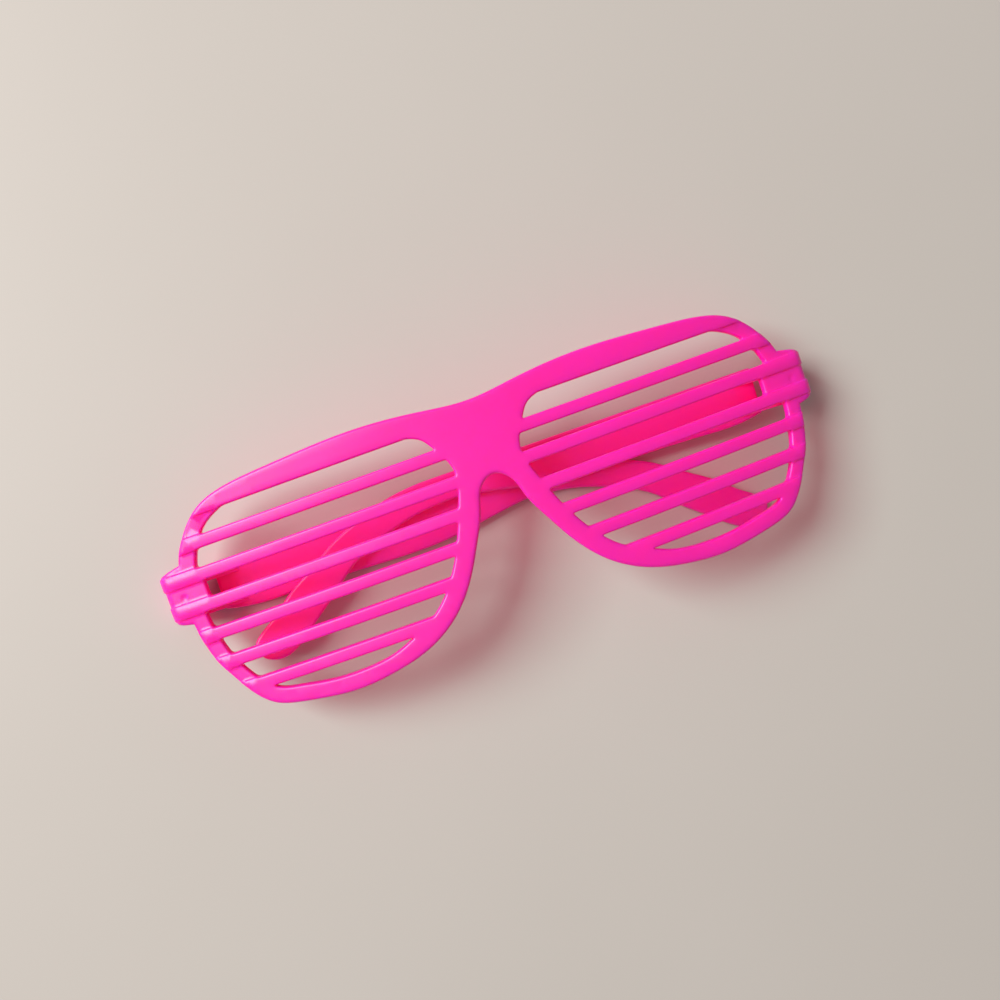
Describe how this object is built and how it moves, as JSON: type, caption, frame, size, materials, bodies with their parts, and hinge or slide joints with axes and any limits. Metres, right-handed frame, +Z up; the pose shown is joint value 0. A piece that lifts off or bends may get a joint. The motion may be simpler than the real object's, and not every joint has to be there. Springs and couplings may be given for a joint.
{
  "type": "slatted novelty glasses",
  "caption": "Folded pink party glasses with horizontal slats in place of lenses, lying on their crossed temples.",
  "frame": {"origin": "centre of the folded glasses' bounding box, in the plane that they lie on", "axes": "+X across the front to the picture's right, +Y towards the brow, +Z up, the way the front faces"},
  "size_m": [0.1491, 0.0518, 0.02],
  "materials": {
    "pink_plastic": "satin",
    "screw_steel": "satin"
  },
  "bodies": {
    "front": {"front_frame": "pink_plastic"},
    "left_arm": {"left_temple": "pink_plastic", "left_hinge_screw": "screw_steel"},
    "right_arm": {"right_temple": "pink_plastic", "right_hinge_screw": "screw_steel"}
  },
  "joints": [
    {"name": "left_hinge", "type": "hinge", "parent": "front", "child": "left_arm", "pos_m": [-0.06882, 0.0043, 0.0048], "axis": [0.0384, 0.9993, 0], "range_deg": [0, 88.71]},
    {"name": "right_hinge", "type": "hinge", "parent": "front", "child": "right_arm", "pos_m": [0.06875, 0.0043, 0.0079], "axis": [-0.0384, -0.9993, 0], "range_deg": [0, 91.29]}
  ]
}
